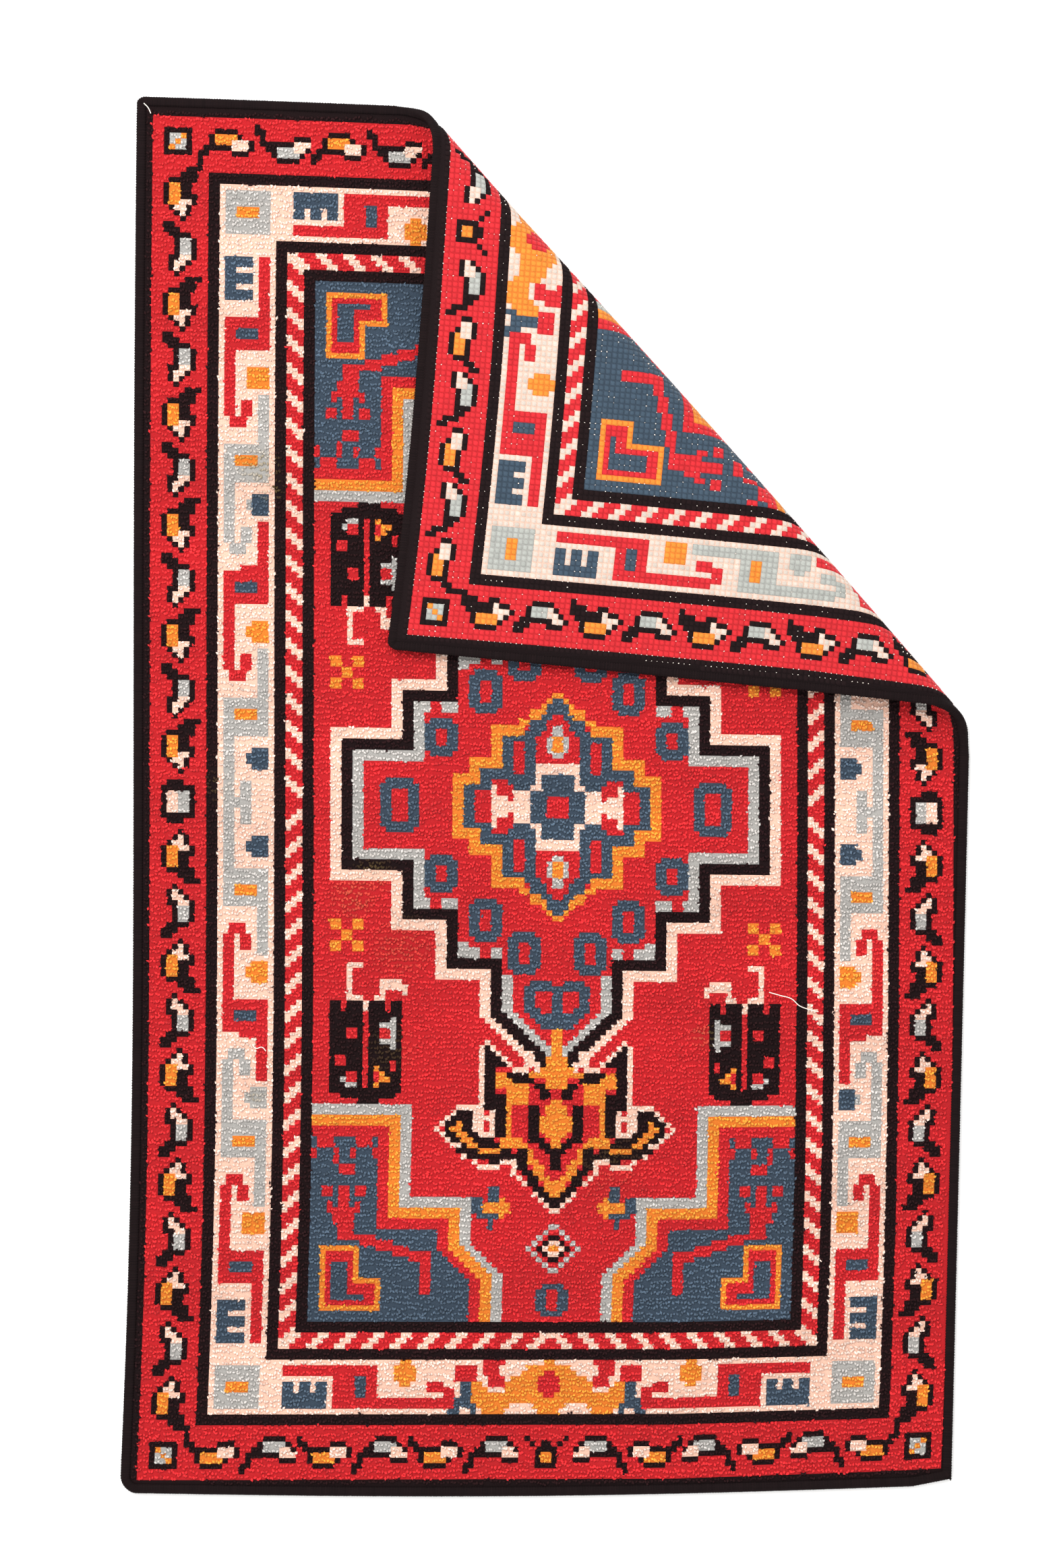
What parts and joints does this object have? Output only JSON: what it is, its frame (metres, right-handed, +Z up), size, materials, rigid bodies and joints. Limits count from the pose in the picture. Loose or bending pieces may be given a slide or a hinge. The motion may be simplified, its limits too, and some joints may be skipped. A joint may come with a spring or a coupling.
{
  "type": "moroccan rug with one corner folded over",
  "caption": "Small knotted wool rug lying flat with one corner folded over its face, traditional geometric medallion pattern, black overcast edge.",
  "frame": {"origin": "centre of the overall box, at floor level under the rug", "axes": "+Y along the rug's length towards the end with the folded corner, +X across it to the right seen from above, +Z up out of the pile"},
  "size_m": [0.7735, 1.2754, 0.035],
  "materials": {
    "wool_pile": "cut wool pile, matt, dyed in red, black, cream, orange and two blues",
    "wool_overcast": "black wool yarn wound tightly round the edge, dull sheen"
  },
  "bodies": {
    "root": {"rug_cloth": "wool_pile", "edge_whipping": "wool_overcast"}
  },
  "joints": []
}
